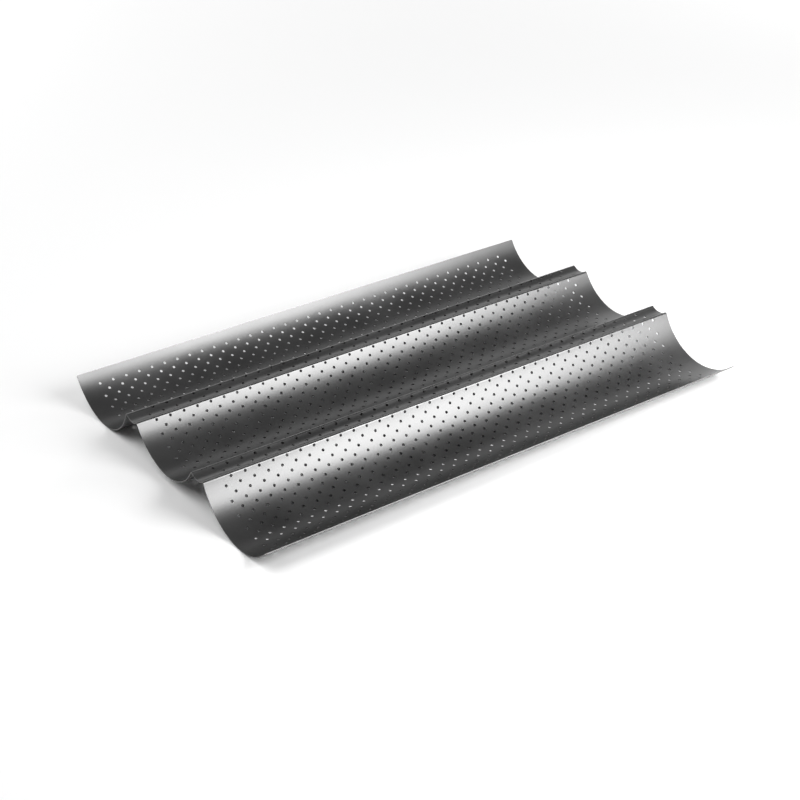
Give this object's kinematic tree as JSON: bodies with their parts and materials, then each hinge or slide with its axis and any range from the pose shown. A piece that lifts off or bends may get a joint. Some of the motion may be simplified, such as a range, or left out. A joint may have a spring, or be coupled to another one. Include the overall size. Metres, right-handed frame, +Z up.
{
  "type": "baguette tray",
  "caption": "Perforated non-stick steel tray with parallel open-ended troughs that hold baguettes while they bake.",
  "frame": {"origin": "under the tray's centre, on the plane that the two outer troughs stand on", "axes": "+X along the troughs, +Y towards the rear rim, which is the higher of the two, +Z up"},
  "size_m": [0.38, 0.2456, 0.0265],
  "materials": {
    "coated_steel": "semi-gloss dark grey non-stick coating"
  },
  "bodies": {
    "root": {"rear_trough": "coated_steel", "rear_ridge": "coated_steel", "middle_trough": "coated_steel", "front_ridge": "coated_steel", "front_trough": "coated_steel"}
  },
  "joints": []
}
